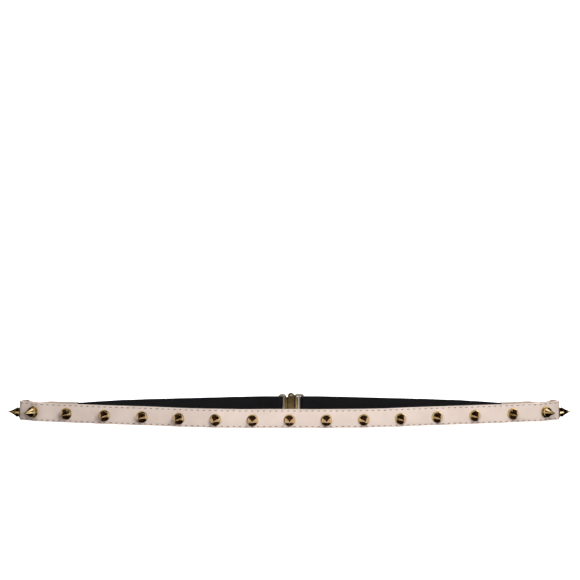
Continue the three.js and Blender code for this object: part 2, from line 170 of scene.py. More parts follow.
class Route:
    """A smooth line seen from above, with a lean, measured by the distance along it in millimetres."""

    STEPS = 40

    def __init__(self, points):
        line = self.smooth([np.array(p, float) for p in points])
        self.x, self.y = line[:, 0], line[:, 1]
        self.lean = np.radians(np.maximum(line[:, 2], 0.0))
        self.along = np.concatenate([[0.0], np.cumsum(np.hypot(np.diff(self.x), np.diff(self.y)))])
        self.heading = np.unwrap(np.arctan2(np.gradient(self.y), np.gradient(self.x)))
        self.length = self.along[-1]

    def smooth(self, points):
        """Points of a centripetal Catmull-Rom curve."""
        ends = [2 * points[0] - points[1], *points, 2 * points[-1] - points[-2]]
        weights = np.arange(self.STEPS) / self.STEPS
        line = []
        for p0, p1, p2, p3 in zip(ends, ends[1:], ends[2:], ends[3:]):
            gaps = [max(np.linalg.norm(b - a) ** 0.5, 1e-4) for a, b in ((p0, p1), (p1, p2), (p2, p3))]
            start = (p1 - p0) / gaps[0] - (p2 - p0) / (gaps[0] + gaps[1]) + (p2 - p1) / gaps[1]
            stop = (p2 - p1) / gaps[1] - (p3 - p1) / (gaps[1] + gaps[2]) + (p3 - p2) / gaps[2]
            start, stop = start * gaps[1], stop * gaps[1]
            t = weights[:, None]
            line.append(p1 + start * t + (3 * (p2 - p1) - 2 * start - stop) * t ** 2
                        + (2 * (p1 - p2) + start + stop) * t ** 3)
        return np.vstack([*line, points[-1]])

    def at(self, along):
        """Place, lean and outward direction at distances along the line."""
        heading = np.interp(along, self.along, self.heading)
        return (np.interp(along, self.along, self.x), np.interp(along, self.along, self.y),
                np.interp(along, self.along, self.lean), np.sin(heading), -np.cos(heading))

    def place(self, along, inward, up, lift=0.0, side=1):
        """Points given by distance along, inward from the outer face and up from the lower edge."""
        x, y, lean, out_x, out_y = self.at(along)
        reach = (inward * np.cos(lean) + up * np.sin(lean)) * side
        height = up * np.cos(lean) - inward * np.sin(lean) + lift
        return np.stack([x - out_x * reach, y - out_y * reach, height], axis=-1)


def smoothstep(value, low, high):
    t = np.clip((value - low) / (high - low), 0.0, 1.0)
    return t * t * (3 - 2 * t)


def plan_point(row, side):
    return side * row[0] * HALF_SPAN, row[1] * LOOP_DEPTH, row[2]


def sizes():
    return bpy.context.scene.belt_sizes


def finish():
    return bpy.context.scene.belt_finish


def mm(value):
    """A size of the panel, which is in metres, in millimetres."""
    return value / MM


def loop_shift():
    """How far the plan is moved back so that the origin is midway through the loop."""
    reach = mm(sizes().stud_height) + 0.05
    return (reach - (LOOP_DEPTH + fold_radius() + mm(sizes().elastic_thickness) / 2)) / 2


def fold_radius():
    return math.hypot(CLASP_BAR, CLASP_PLATE) / 2 + FOLD_CLEARANCE + mm(sizes().elastic_thickness) / 2


def half_window():
    """Half the width of the clasp between its two halves' inner bars."""
    return (TONGUE_REACH + TONGUE_THICKNESS) / 2


def slot_width():
    """Width of the slot in each clasp half that the elastic goes through."""
    return fold_radius() + mm(sizes().elastic_thickness) / 2 + GAP - CLASP_BAR / 2


def strap_route():
    rows = [*FRONT_ROWS, *END_ROWS, *[row for row in RETURN_ROWS if row[0] >= LEATHER_END]]
    return Route([*[plan_point(row, -1) for row in rows[:0:-1]], *[plan_point(row, 1) for row in rows]])


def pocket_gap():
    return mm(sizes().elastic_thickness) + 2 * GAP


def swelling(along, total):
    from_end = np.minimum(along, total - along)
    return smoothstep(POCKET_DEPTH + POCKET_RAMP - from_end, 0, POCKET_RAMP)


def strap_lift(route, along):
    thickness = 2 * mm(sizes().leather_layer) + pocket_gap() * swelling(along, route.length)
    return np.sin(route.at(along)[2]) * thickness


def elastic_route(side):
    """From inside the leather to the clasp bar, round the bar and back on itself."""
    strap = strap_route()
    thickness = mm(sizes().elastic_thickness)
    radius = fold_radius()
    bar = side * (half_window() + CLASP_BAR + slot_width() + CLASP_BAR / 2) + CLASP_SHIFT
    middle = mm(sizes().leather_layer) + pocket_gap() / 2
    in_leather = np.linspace(POCKET_DEPTH - GAP, 0, 5)
    along = strap.length - in_leather if side > 0 else in_leather
    points = [(x, y, 0) for x, y, _ in strap.place(along, middle, 0.0)]
    points += [plan_point(row, side) for row in RETURN_ROWS if row[0] < LEATHER_END]
    main = LOOP_DEPTH + radius
    apart = thickness + FOLD_APART
    taper = 2.5 * radius
    points.append((bar + side * taper, main, 0))
    bend = 6
    for i in range(bend + 1):
        angle = math.pi / 2 - math.pi * i / bend
        points.append((bar - side * radius * math.cos(angle), LOOP_DEPTH + radius * math.sin(angle), 0))
    points.append((bar + side * taper, main - (radius + apart / 2), 0))
    points.append((bar + side * 1.7 * taper, main - apart, 0))
    points.append((bar + side * TURN_BACK, main - apart, 0))
    return Route(points)


def stud_seats():
    """Place and outward direction of each stud on the leather, from the left end to the right."""
    route = strap_route()
    middle = route.length / 2
    half = route.along > middle
    slant = np.interp(END_STUD_ACROSS * HALF_SPAN, *rising(route.x[half], route.along[half])) - middle
    tip = route.along[half][np.argmax(route.x[half])] + END_STUD_PAST - middle
    places = [(-tip, END_STUD_DROP), (-slant, 0)]
    for i in range(-SIDE_STUDS, SIDE_STUDS + 1):
        outward_share = (i / SIDE_STUDS) ** 2
        drop = STUD_DROP + (LAST_STUD_DROP - STUD_DROP) * outward_share
        places.append((i * STUD_PITCH * (1 + STUD_SPREAD * outward_share), drop))
    places += [(slant, 0), (tip, END_STUD_DROP)]
    seats = []
    for step, drop in places:
        along = middle + step
        height = mm(sizes().strap_width) / 2 - drop
        seat = route.place(along, 0.0, height, strap_lift(route, along))
        _, _, lean, out_x, out_y = route.at(along)
        axis = Vector((out_x * math.cos(lean), out_y * math.cos(lean), math.sin(lean)))
        seats.append((Vector(seat) + Vector((0, loop_shift(), 0)), axis, along, height))
    return seats


def rising(x, along):
    """The stretch of a line over which x still grows."""
    top = int(np.argmax(x)) + 1
    return x[:top], along[:top]


# Modelling helpers

def begin(primitive, **options):
    """Adds a primitive with nothing else selected."""
    if bpy.context.object and bpy.context.object.mode != "OBJECT":
        bpy.ops.object.mode_set(mode="OBJECT")
    bpy.ops.object.select_all(action="DESELECT")
    getattr(bpy.ops.mesh, f"primitive_{primitive}_add")(**options)
    return bpy.context.object


def pick(kind, test):
    """In edit mode, selects the vertices, edges or faces whose middle passes a test."""
    bpy.ops.mesh.select_mode(type=kind)
    bpy.ops.mesh.select_all(action="DESELECT")
    data = bpy.context.object.data
    mesh = bmesh.from_edit_mesh(data)
    if kind == "VERT":
        chosen = [v for v in mesh.verts if test(v.co)]
    elif kind == "EDGE":
        chosen = [e for e in mesh.edges if test((e.verts[0].co + e.verts[1].co) / 2)]
    else:
        chosen = [f for f in mesh.faces if test(f.calc_center_median())]
    for element in chosen:
        element.select_set(True)
    mesh.select_flush_mode()
    bmesh.update_edit_mesh(data)


def only(piece):
    """Selects one piece and makes it the active one."""
    bpy.ops.object.select_all(action="DESELECT")
    piece.select_set(True)
    bpy.context.view_layer.objects.active = piece


def modifier(piece, kind, **settings):
    """Adds a modifier and applies it."""
    only(piece)
    bpy.ops.object.modifier_add(type=kind)
    added = piece.modifiers[-1]
    for key, value in settings.items():
        setattr(added, key, value)
    bpy.ops.object.modifier_apply(modifier=added.name)


def outward(piece):
    """Turns every face of the piece outwards."""
    only(piece)
    bpy.ops.object.mode_set(mode="EDIT")
    bpy.ops.mesh.select_all(action="SELECT")
    bpy.ops.mesh.remove_doubles(threshold=1e-7)
    bpy.ops.mesh.normals_make_consistent(inside=False)
    bpy.ops.object.mode_set(mode="OBJECT")


def joined(pieces):
    """One piece made of several."""
    bpy.ops.object.select_all(action="DESELECT")
    for piece in pieces:
        piece.select_set(True)
    bpy.context.view_layer.objects.active = pieces[0]
    if len(pieces) > 1:
        bpy.ops.object.join()
    return pieces[0]


def copied(piece, matrix=None):
    """A copy with a mesh of its own, moved by a matrix."""
    twin = piece.copy()
    twin.data = piece.data.copy()
    bpy.context.scene.collection.objects.link(twin)
    if matrix:
        twin.data.transform(matrix)
    return twin


def removed(piece):
    data = piece.data
    bpy.data.objects.remove(piece)
    bpy.data.meshes.remove(data)


def shaped(primitive, extent, place, **options):
    """A primitive one unit across, stretched to a size and put in place, in millimetres."""
    piece = begin(primitive, **options)
    piece.scale = Vector(extent) * MM
    piece.location = Vector(place) * MM
    bpy.ops.object.transform_apply(location=True, rotation=True, scale=True)
    return piece


def rounded(piece, radius, segments):
    """Rounds the piece's sharp edges."""
    modifier(piece, "BEVEL", width=radius * MM, segments=segments, limit_method="ANGLE",
             angle_limit=math.radians(50))
    return piece


def cut_by(piece, tool):
    """Cuts one piece by another, which goes."""
    modifier(piece, "BOOLEAN", operation="DIFFERENCE", solver="EXACT", object=tool)
    removed(tool)


def placed(piece, name, material, slot, *nodes, angle=35, even=False):
    """Names a finished piece, settles its place in its mesh, and ties it to the frame."""
    only(piece)
    bpy.ops.object.transform_apply(location=True, rotation=True, scale=True)
    bpy.ops.object.shade_smooth_by_angle(angle=math.radians(angle))
    if even:
        modifier(piece, "WEIGHTED_NORMAL", keep_sharp=True)
    piece.name = name
    piece.data.name = name
    piece.data.materials.clear()
    piece.data.materials.append(material)
    if nodes:
        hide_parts(*nodes)
    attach(piece, BODY)
    return piece


def points_of(piece):
    """The piece's points in millimetres."""
    flat = np.empty(len(piece.data.vertices) * 3)
    piece.data.vertices.foreach_get("co", flat)
    return flat.reshape(-1, 3) / MM


def set_points(piece, points):
    piece.data.vertices.foreach_set("co", (np.asarray(points) * MM).ravel())
    piece.data.update()


def lay_along(piece, route, lift, side=1):
    """Wraps a piece that was modelled straight along +X onto a route."""
    flat = points_of(piece)
    laid = route.place(flat[:, 0], flat[:, 1], flat[:, 2], lift(flat[:, 0]), side)
    laid[:, 1] += loop_shift()
    set_points(piece, laid)


def keep_flat_map(piece):
    """Stores the straight piece's length and height as its UV map, in metres."""
    flat = points_of(piece) * MM
    uv = piece.data.uv_layers.new(name="flat")
    corners = np.empty(len(piece.data.loops), int)
    piece.data.loops.foreach_get("vertex_index", corners)
    uv.data.foreach_set("uv", flat[corners][:, (0, 2)].ravel())


def swept(profile, total, steps):
    """Sweeps a closed outline that lies in the YZ plane along +X, and closes both ends."""
    modifier(profile, "SCREW", axis="X", angle=0.0, screw_offset=total * MM, steps=steps,
             render_steps=steps, use_merge_vertices=False)
    bpy.ops.object.mode_set(mode="EDIT")
    for end in (0.0, total * MM):
        pick("EDGE", lambda middle: abs(middle.x - end) < 1e-6)
        bpy.ops.mesh.edge_face_add()
    bpy.ops.object.mode_set(mode="OBJECT")
    outward(profile)
    return profile


def outline(thickness, width, cuts_across, cuts_through, radius):
    """The rounded outline of a band's section, in the YZ plane, its outer face at Y = 0."""
    section = begin("plane", size=1.0, rotation=(0.0, math.pi / 2, 0.0))
    bpy.ops.object.transform_apply(location=False, rotation=True, scale=False)
    bpy.ops.object.mode_set(mode="EDIT")
    bpy.ops.mesh.select_all(action="SELECT")
    bpy.ops.transform.resize(value=(1.0, thickness * MM, width * MM))
    bpy.ops.transform.translate(value=(0.0, thickness * MM / 2, width * MM / 2))
    bpy.ops.mesh.bevel(offset=radius * MM, segments=4, affect="VERTICES")
    bpy.ops.mesh.select_all(action="SELECT")
    bpy.ops.mesh.delete(type="ONLY_FACE")
    half = width * MM / 2
    pick("EDGE", lambda middle: abs(middle.z - half) < 1e-6)
    bpy.ops.mesh.subdivide(number_cuts=cuts_across)
    if cuts_through:
        depth = thickness * MM / 2
        pick("EDGE", lambda middle: abs(middle.y - depth) < 1e-6 and abs(middle.z - half) > half - 1e-6)
        bpy.ops.mesh.subdivide(number_cuts=cuts_through)
    bpy.ops.object.mode_set(mode="OBJECT")
    return section


def turned(profile, sides):
    """A round piece on the Z axis: a disc whose top face is raised and resized step by step."""
    radius, height = profile[0]
    piece = begin("circle", vertices=sides, radius=radius * MM, fill_type="NGON",
                  location=(0.0, 0.0, height * MM))
    bpy.ops.object.mode_set(mode="EDIT")
    bpy.ops.mesh.select_mode(type="FACE")
    bpy.ops.mesh.select_all(action="SELECT")
    for next_radius, next_height in profile[1:]:
        bpy.ops.mesh.extrude_region_move(
            TRANSFORM_OT_translate={"value": (0.0, 0.0, (next_height - height) * MM)})
        share = next_radius / radius
        bpy.ops.transform.resize(value=(share, share, 1.0))
        radius, height = next_radius, next_height
    bpy.ops.object.mode_set(mode="OBJECT")
    bpy.ops.object.transform_apply(location=True, rotation=True, scale=True)
    outward(piece)
    return piece


def sheet(across, up, back):
    """A flat rectangle that faces the front, left in edit mode."""
    piece = begin("plane", size=1.0, rotation=(math.pi / 2, 0.0, 0.0))
    bpy.ops.object.transform_apply(location=False, rotation=True, scale=False)
    bpy.ops.object.mode_set(mode="EDIT")
    bpy.ops.mesh.select_all(action="SELECT")
    bpy.ops.transform.resize(value=((across[1] - across[0]) * MM, 1.0, (up[1] - up[0]) * MM))
    bpy.ops.transform.translate(value=Vector((sum(across) / 2, back, sum(up) / 2)) * MM)
    return piece


def slab(across, up, deep, corner, window=None):
    """A rounded rectangle that faces the front, given its thickness. A window leaves a ring."""
    width, height = across[1] - across[0], up[1] - up[0]
    piece = sheet(across, up, deep[1])
    bpy.ops.mesh.bevel(offset=corner * MM, segments=8, affect="VERTICES")
    if window:
        left, right, low, high = window
        bar = min(left - across[0], across[1] - right)
        pick("FACE", lambda middle: True)
        bpy.ops.mesh.inset(thickness=bar * MM)
        bpy.ops.transform.resize(value=((right - left) / (width - 2 * bar), 1.0,
                                        (high - low) / (height - 2 * bar)))
        shift = ((left + right - sum(across)) / 2, 0.0, (low + high - sum(up)) / 2)
        bpy.ops.transform.translate(value=Vector(shift) * MM)
        bpy.ops.mesh.delete(type="ONLY_FACE")
    bpy.ops.mesh.select_all(action="SELECT")
    bpy.ops.mesh.extrude_region_move(
        TRANSFORM_OT_translate={"value": (0.0, (deep[0] - deep[1]) * MM, 0.0)})
    bpy.ops.object.mode_set(mode="OBJECT")
    outward(piece)
    return piece


def united(piece, others):
    """Joins solids into one, without inner walls."""
    for other in others:
        modifier(piece, "BOOLEAN", operation="UNION", solver="EXACT", object=other)
        removed(other)
    return piece


# Materials

def set_inputs(tree, added, inputs):
    """Sets a node's inputs. An input that is given a socket is linked to it."""
    for key, value in inputs.items():
        if isinstance(value, bpy.types.NodeSocket):
            tree.links.new(value, added.inputs[key])
        else:
            added.inputs[key].default_value = value


def node(tree, kind, **settings):
    """Adds a node with its options and inputs. An underscore stands for a space in an input's name."""
    added = tree.nodes.new(f"ShaderNode{kind}")
    for key, value in settings.items():
        if hasattr(added, key):
            setattr(added, key, value)
        else:
            set_inputs(tree, added, {key.replace("_", " "): value})
    return added


def new_material(name):
    """A material with an empty surface, and the coordinates that its patterns are read from."""
    material = bpy.data.materials.new(name)
    material.use_nodes = True
    tree = material.node_tree
    tree.nodes.clear()
    shader = node(tree, "BsdfPrincipled")
    node(tree, "OutputMaterial", target="ALL", Surface=shader.outputs["BSDF"])
    return material, tree, shader, node(tree, "TexCoord").outputs


def ramp(tree, source, *stops):
    """A colour ramp with the stops given as (place, colour)."""
    added = node(tree, "ValToRGB", Fac=source)
    elements = added.color_ramp.elements
    for element, (place, value) in zip(elements, (stops[0], stops[-1])):
        element.position, element.color = place, value
    for place, value in stops[1:-1]:
        elements.new(place).color = value
    return added.outputs["Color"]


def grey(value):
    return (value, value, value, 1.0)


def shaded(base, share):
    return tuple(c * share for c in base[:3]) + (1.0,)


def mixed(tree, share, first, second, blend="MIX"):
    """Two colours mixed by a share."""
    added = node(tree, "Mix", data_type="RGBA", blend_type=blend)
    set_inputs(tree, added, {0: share, 6: first, 7: second})
    return added.outputs[2]


def calc(tree, operation, *values):
    """The result of arithmetic on numbers and sockets."""
    added = node(tree, "Math", operation=operation)
    set_inputs(tree, added, dict(enumerate(values)))
    return added.outputs[0]


def faded(tree, value, near, far, low=0.0, high=1.0):
    """Goes from one value to another between two distances in millimetres."""
    return node(tree, "MapRange", Value=value, From_Min=near * MM, From_Max=far * MM, To_Min=low,
                To_Max=high).outputs["Result"]


def per_metre(millimetres):
    """Scale of a pattern whose repeats are this far apart, on coordinates in metres."""
    return 1.0 / (millimetres * MM)


def noise(tree, place, millimetres, detail=2.0, roughness=0.5):
    """Blotches about this far apart."""
    return node(tree, "TexNoise", Vector=place, Scale=per_metre(millimetres), Detail=detail,
                Roughness=roughness).outputs["Fac"]


def bands(tree, place, direction, millimetres, distortion):
    """Waves across one direction, this far apart."""
    return node(tree, "TexWave", wave_type="BANDS", bands_direction=direction, Vector=place,
                Scale=per_metre(millimetres) / (2 * math.pi), Distortion=distortion).outputs["Fac"]


def bump(tree, height, strength, millimetres):
    return node(tree, "Bump", Height=height, Strength=strength,
                Distance=millimetres * MM).outputs["Normal"]


def lining_leather():
    """Undyed split leather of the inner layer: matt, slightly fibrous, greyer than the outer layer."""
    material, tree, shader, place = new_material("split_leather_undyed")
    fibre = noise(tree, place["Object"], 0.8, 6.0, 0.7)
    base = tuple(finish().lining)
    set_inputs(tree, shader, {
        "Base Color": ramp(tree, fibre, (0.3, shaded(base, 0.78)), (0.7, base)),
        "Roughness": 0.8,
        "Specular IOR Level": 0.3,
        "Normal": bump(tree, fibre, 0.4, 0.08),
    })
    return material


def full_grain_leather():
    """Smooth calf leather, drum-dyed and lightly waxed: fine pebbled grain with pores, a soft low gloss,
    darker dye in blotches, and painted shade round its needle holes."""
    material, tree, shader, place = new_material("full_grain_leather_drum_dyed")
    grain = node(tree, "TexVoronoi", feature="F1", Vector=place["Object"], Scale=per_metre(0.55),
                 Randomness=0.95).outputs["Distance"]
    pores = noise(tree, place["Object"], 0.3, 4.0)
    cloud = noise(tree, place["Object"], 14.0, 5.0, 0.6)
    tint = ramp(tree, cloud, (0.35, grey(0.0)), (0.72, grey(0.32)))
    dyed = mixed(tree, tint, finish().leather, finish().leather_low)
    holes = painted_needle_hole_shade(tree, place["UV"])
    set_inputs(tree, shader, {
        # Painted shade: round the needle holes the colour turns to the deep leather colour, darkened
        # further.
        "Base Color": mixed(tree, holes, dyed, shaded(finish().leather_low, 0.42)),
        "Roughness": ramp(tree, pores, (0.3, grey(0.5)), (0.75, grey(0.64))),
        "Specular IOR Level": 0.4,
        "Normal": bump(tree, calc(tree, "MULTIPLY_ADD", pores, 0.35, grain), 0.35, 0.06),
    })
    return material


def painted_needle_hole_shade(tree, flat):
    """Painted shade round the needle holes along both lines of stitching, read from the strap's flat map.
    """
    size = sizes()
    parts = node(tree, "SeparateXYZ", Vector=flat).outputs
    phase = calc(tree, "FRACT", calc(tree, "DIVIDE", parts["X"], size.stitch_pitch))
    reach = size.stitch_length / size.stitch_pitch / 2
    from_middle = calc(tree, "ABSOLUTE", calc(tree, "SUBTRACT", phase, 0.5))
    along = calc(tree, "MULTIPLY", calc(tree, "SUBTRACT", from_middle, reach), size.stitch_pitch)
    from_centre = calc(tree, "ABSOLUTE", calc(tree, "SUBTRACT", parts["Y"], size.strap_width / 2))
    across = calc(tree, "SUBTRACT", from_centre, size.strap_width / 2 - size.stitch_inset)
    squares = [calc(tree, "MULTIPLY", value, value) for value in (along, across)]
    return faded(tree, calc(tree, "SQRT", calc(tree, "ADD", *squares)), 0.25, 0.6, 0.85, 0.0)


def waxed_thread():
    """Waxed polyester thread: matt taupe, with the twist of its plies across each stitch."""
    material, tree, shader, place = new_material("waxed_thread_twisted")
    plies = bands(tree, place["Object"], "DIAGONAL", 0.45, 0.6)
    base = tuple(finish().thread)
    set_inputs(tree, shader, {
        "Base Color": ramp(tree, plies, (0.2, shaded(base, 0.6)), (0.8, base)),
        "Roughness": 0.6,
        "Normal": bump(tree, plies, 0.5, 0.08),
    })
    return material


def knitted_elastic():
    """Knitted rubber-core elastic, piece-dyed black: matt, with fine cross threads between its cords."""
    material, tree, shader, place = new_material("elastic_knitted")
    fuzz = noise(tree, place["Object"], 0.35, 3.0)
    base = tuple(finish().elastic)
    set_inputs(tree, shader, {
        "Base Color": ramp(tree, fuzz, (0.3, base), (0.8, shaded(base, 2.0))),
        "Roughness": 0.85,
        "Specular IOR Level": 0.25,
        "Normal": bump(tree, bands(tree, place["UV"], "X", 0.5, 0.4), 0.7, 0.1),
    })
    return material


def gold_plate():
    """Cast zinc alloy, barrel-polished and gold plated: clear reflections with faint rubbing marks."""
    material, tree, shader, place = new_material("zinc_alloy_gold_plated")
    rub = noise(tree, place["Object"], 1.2, 6.0, 0.65)
    base = tuple(finish().gold)
    set_inputs(tree, shader, {
        "Base Color": ramp(tree, rub, (0.4, base), (0.75, shaded(base, 0.86))),
        "Roughness": ramp(tree, rub, (0.35, grey(0.1)), (0.7, grey(0.16))),
        "Metallic": 1.0,
        "Normal": bump(tree, rub, 0.12, 0.01),
    })
    return material


def antique_brass():
    """Cast zinc alloy, antique brass plate: painted shade in the gaps between the hump and the ribs, and
    painted highlights on the rails, the bars and the boss."""
    material, tree, shader, place = new_material("zinc_alloy_antique_brass_plated")
    parts = node(tree, "SeparateXYZ", Vector=place["Object"]).outputs
    rub = noise(tree, place["Object"], 2.0, 6.0, 0.65)

    def far_from(axis, centre, near, far, most=1.0):
        """0 within one distance of a centre line, up to its most beyond another."""
        away = calc(tree, "ABSOLUTE", calc(tree, "SUBTRACT", parts[axis], centre * MM))
        return faded(tree, away, near, far, 0.0, most)

    half = CLASP_HEIGHT / 2
    window = half_window()
    hump = CLASP_SHIFT - GAP / 6 - HUMP_SHIFT
    rails = calc(tree, "MULTIPLY", far_from("Z", half, half - CLASP_RAIL, half - 0.6 * CLASP_RAIL),
                 far_from("X", hump, HUMP_WIDTH / 2 + 0.1, HUMP_WIDTH / 2 + 0.5))
    bars = far_from("X", CLASP_SHIFT, window - 0.3, window, 0.6)
    boss = calc(tree, "MULTIPLY", far_from("X", hump, 1.1, 0.7),
                far_from("Z", CLASP_HEIGHT - BEAD_DROP, 0.8, 0.4))
    # Painted highlight: a pale colour mixed in on the rails, the bars and the boss.
    painted_highlight = calc(tree, "MAXIMUM", calc(tree, "MAXIMUM", rails, bars), boss)
    brass = tuple(finish().brass)
    dark = shaded(brass, 0.2)
    plate = ramp(tree, rub, (0.4, brass), (0.75, shaded(brass, 0.6)))
    # Painted shade: a dark band along the gaps between the hump and the ribs.
    grooves = ramp(tree, far_from("X", hump, 0.0, 2 * HUMP_WIDTH), (0.0, grey(1.0)), (0.23, grey(0.9)),
                   (0.25, dark), (0.28, dark), (0.31, grey(1.0)))
    set_inputs(tree, shader, {
        "Base Color": mixed(tree, painted_highlight, mixed(tree, 1.0, plate, grooves, "MULTIPLY"),
                            finish().brass_painted_highlight),
        "Roughness": ramp(tree, painted_highlight, (0.0, grey(0.24)), (1.0, grey(0.34))),
        "Metallic": 1.0,
        "Normal": bump(tree, rub, 0.12, 0.01),
    })
    return material


def painted_floor():
    """Matt white painted board, slightly uneven, that glows as if lit from all sides."""
    material, tree, shader, place = new_material("board_painted_white")
    mottle = noise(tree, place["Object"], 60.0)
    base = tuple(finish().floor)
    set_inputs(tree, shader, {
        "Base Color": ramp(tree, mottle, (0.3, base), (0.7, shaded(base, 0.985))),
        "Roughness": 0.9,
        "Specular IOR Level": 0.0,
        "Emission Color": grey(1.0),
        "Emission Strength": 0.95,
    })
    return material


MAKERS = {
    "leather": full_grain_leather,
    "lining": lining_leather,
    "thread": waxed_thread,
    "elastic": knitted_elastic,
    "gold": gold_plate,
    "brass": antique_brass,
    "floor": painted_floor,
}
MADE = {}


def material_for(key):
    """Each of the belt's materials, made once."""
    if key not in MADE:
        MADE[key] = MAKERS[key]()
    return MADE[key]


# Pieces

class BELT_OT_strap(bpy.types.Operator):
    """Make the leather strap: a doubled strap with painted edges, split at its ends for the elastic"""

    bl_idname = "belt.strap"
    bl_label = "Leather Strap"

    def execute(self, context):
        size = sizes()
        route = strap_route()
        layer = mm(size.leather_layer)
        width = mm(size.strap_width)
        strap = outline(2 * layer, width, 27, 3, mm(size.edge_round))
        swept(strap, route.length, int(route.length / 0.8))
        self.work_surface(strap, route)
        for start in (-2.0, route.length - POCKET_DEPTH):
            deep = POCKET_DEPTH + 2.0
            cut_by(strap, shaped("cube", (deep, pocket_gap(), 2 * width),
                                 (start + deep / 2, layer + pocket_gap() / 2, width / 2), size=1.0))
        keep_flat_map(strap)
        lining = self.lining_faces(strap, route, layer)
        lay_along(strap, route, lambda along: strap_lift(route, along))
        placed(strap, "strap_leather", material_for("leather"), "leather", "leather_strap", angle=40)
        strap.data.materials.append(material_for("lining"))
        strap.data.polygons.foreach_set("material_index", lining)
        return {"FINISHED"}

    def lining_faces(self, strap, route, layer):
        """1 for each face of the inner layer, 0 for the rest."""
        middles = np.empty(len(strap.data.polygons) * 3)
        strap.data.polygons.foreach_get("center", middles)
        along, inward, _ = middles.reshape(-1, 3).T / MM
        return (inward > layer + pocket_gap() * swelling(along, route.length) * 0.5).astype(np.int32)

    def work_surface(self, strap, route):
        """Swells the ends, pulls in the stitching, beds the studs and wears the edges."""
        size = sizes()
        width = mm(size.strap_width)
        thickness = 2 * mm(size.leather_layer)
        points = points_of(strap)
        along, inward, up = points.T
        from_edge = np.minimum(up, width - up)
        side = np.where(inward < thickness / 2, 1.0, -1.0)
        face = np.clip(np.abs(inward / thickness - 0.5) * 2, 0, 1)
        line_spread, bed_depth, bed_radius, ridge, ridge_radius = 0.45, 0.14, 4.5, 0.07, 5.6
        line = np.exp(-((from_edge - mm(size.stitch_inset)) / line_spread) ** 2)
        pull = mm(size.channel) * line * (0.75 + 0.25 * np.cos(2 * np.pi * along / mm(size.stitch_pitch)))
        bed = np.zeros_like(pull)
        for _, _, seat_along, seat_up in stud_seats():
            away = np.hypot(along - seat_along, up - seat_up)
            bed += bed_depth * np.exp(-(away / bed_radius) ** 6)
            bed -= ridge * np.exp(-(away - ridge_radius) ** 2)
        crown_height, seam_size = 0.05, 0.16
        crown = crown_height * (np.cos(np.pi * (up / width - 0.5)) - 1)
        seam = seam_size * np.exp(-((inward - thickness / 2) / seam_size) ** 2) * (from_edge < 0.05)
        wander = 0.05 * np.sin(along / 17.0) + 0.04 * np.sin(along / 7.3 + 1.1)
        parted = inward / thickness * pocket_gap() * swelling(along, route.length)
        points[:, 1] = inward + side * face * (pull + bed - crown) + parted
        most_wander = 0.09
        points[:, 2] = up + np.where(up > width / 2, -seam + wander - most_wander, seam)
        set_points(strap, points)


class BELT_OT_stitching(bpy.types.Operator):
    """Sew both edges of the strap, and a short row across each end that holds the elastic"""

    bl_idname = "belt.stitching"
    bl_label = "Stitching"

    def execute(self, context):
        size = sizes()
        route = strap_route()
        pitch = mm(size.stitch_pitch)
        inset = mm(size.stitch_inset)
        width = mm(size.strap_width)
        thickness = 2 * mm(size.leather_layer)
        count = int(route.length / pitch)
        stitch = self.one_stitch()
        rows = []
        for up in (inset, width - inset):
            for outer in (True, False):
                row = copied(stitch, Matrix.Translation(Vector((pitch / 2, 0.0, up)) * MM))
                modifier(row, "ARRAY", count=count, use_relative_offset=False,
                         use_constant_offset=True, constant_offset_displace=(pitch * MM, 0.0, 0.0))
                points = points_of(row)
                depth = 0.04 if outer else -0.04
                base = 0.0 if outer else thickness + pocket_gap() * swelling(points[:, 0], route.length)
                points[:, 1] += base + depth
                set_points(row, points)
                rows.append(row)
        rows += self.end_rows(stitch, route, thickness)
        removed(stitch)
        thread = joined(rows)
        self.loosen(thread, pitch)
        lay_along(thread, route, lambda along: strap_lift(route, along))
        placed(thread, "strap_stitching", material_for("thread"), "leather", angle=60)
        return {"FINISHED"}

    def one_stitch(self):
        """One stitch: a bead of thread drawn out along X, its ends dipping into the needle holes."""
        size = sizes()
        half = mm(size.stitch_length) / 2
        stitch = begin("uv_sphere", segments=8, ring_count=7, radius=0.5, rotation=(0, math.pi / 2, 0))
        bpy.ops.object.transform_apply(location=False, rotation=True, scale=False)
        bpy.ops.object.mode_set(mode="EDIT")
        bpy.ops.mesh.select_all(action="SELECT")
        bpy.ops.transform.resize(value=(size.stitch_length, size.thread * 0.8, size.thread))
        bpy.ops.transform.rotate(value=math.radians(5), orient_axis="Y", center_override=(0, 0, 0))
        bpy.ops.object.mode_set(mode="OBJECT")
        points = points_of(stitch)
        points[:, 0] = half * np.sin(np.clip(points[:, 0] / half, -1, 1) * np.pi / 2)
        set_points(stitch, points)
        return stitch

    def end_rows(self, stitch, route, thickness):
        """Upright rows across the leather where it holds the elastic."""
        size = sizes()
        width = mm(size.strap_width)
        inset = mm(size.stitch_inset)
        turn = Matrix.Rotation(math.radians(90), 4, "Y")
        rows = []
        step = (width - 2 * inset) / 3
        for end in (2.6, 11.0):
            for along in (end, route.length - end):
                for base in (0.04, thickness + pocket_gap() - 0.04):
                    for i in range(3):
                        place = Vector((along, base, inset + step * (i + 0.5))) * MM
                        rows.append(copied(stitch, Matrix.Translation(place) @ turn))
        return rows

    def loosen(self, thread, pitch):
        """Moves each stitch a little off its line, as hand-guided stitching is."""
        random.seed(4)
        points = points_of(thread)
        drift = np.array([random.uniform(-0.07, 0.07) for _ in range(512)])
        number = np.clip((points[:, 0] / pitch).astype(int), 0, 511)
        points[:, 2] += drift[number]
        points[:, 0] += drift[::-1][number]
        set_points(thread, points)


